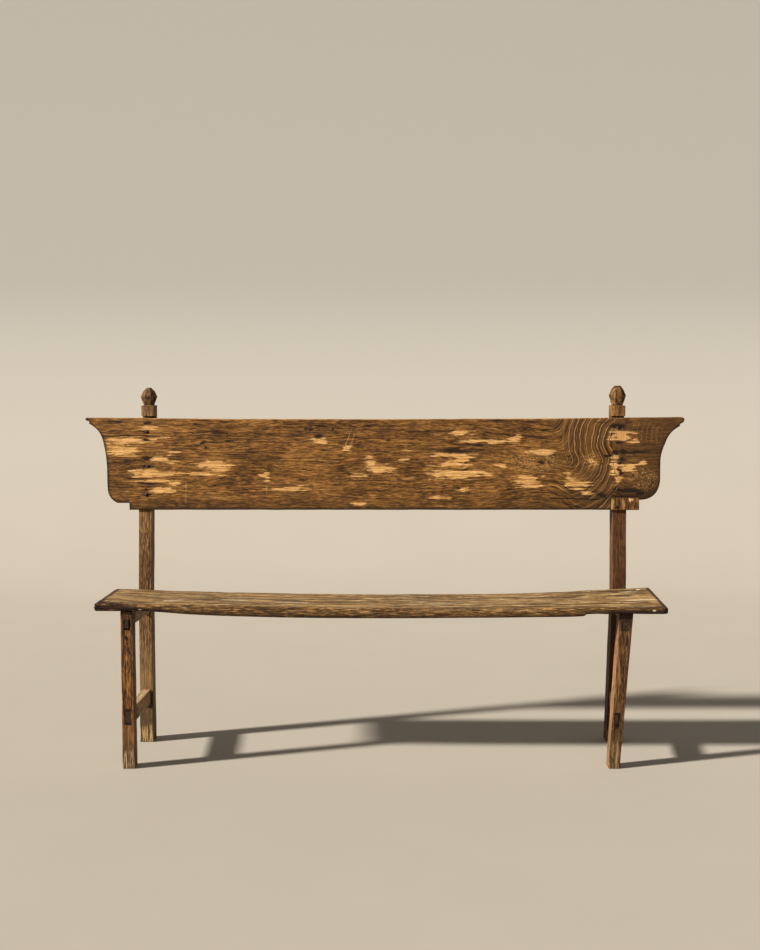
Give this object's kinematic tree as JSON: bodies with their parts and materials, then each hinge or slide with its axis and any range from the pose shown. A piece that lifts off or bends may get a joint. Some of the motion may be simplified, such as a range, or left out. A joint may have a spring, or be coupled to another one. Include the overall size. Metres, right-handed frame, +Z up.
{
  "type": "monks bench",
  "caption": "Long plank bench with a sagging seat on two end frames of legs and posts, and a high scroll-ended back board nailed into the notched rear posts.",
  "frame": {"origin": "on the floor under the middle of the bench's bounding box", "axes": "+X along the bench, to the right as a person faces it; +Y from the front edge of the seat to the back of the posts; +Z up"},
  "size_m": [1.726, 0.35, 1.043],
  "materials": {
    "seat_wood": "worn grey-tan oak, dry, with dark cracks",
    "board_wood": "brown stained oak with worn golden patches",
    "patch_wood": "darker brown wood, grain upright",
    "post_wood": "dark brown wood, slightly waxed, grain upright",
    "leg_wood": "brown wood, worn pale at the feet",
    "rail_wood": "dull brown wood",
    "wedge_wood": "dark brown wood, end grain",
    "nail_iron": "dull wrought iron"
  },
  "bodies": {
    "root": {"seat_plank": "seat_wood", "back_board": "board_wood", "back_board_patch": "patch_wood", "left_rear_post": "post_wood", "right_rear_post": "post_wood", "left_front_leg": "leg_wood", "right_front_leg": "leg_wood", "left_seat_bearer": "rail_wood", "right_seat_bearer": "rail_wood", "left_side_stretcher": "rail_wood", "right_side_stretcher": "rail_wood", "left_leg_wedges": "wedge_wood", "right_leg_wedges": "wedge_wood", "left_post_wedges": "wedge_wood", "right_post_wedges": "wedge_wood", "left_board_nails": "nail_iron", "right_board_nails": "nail_iron", "patch_nail": "nail_iron", "left_seat_nails": "nail_iron", "right_seat_nails": "nail_iron"}
  },
  "joints": []
}
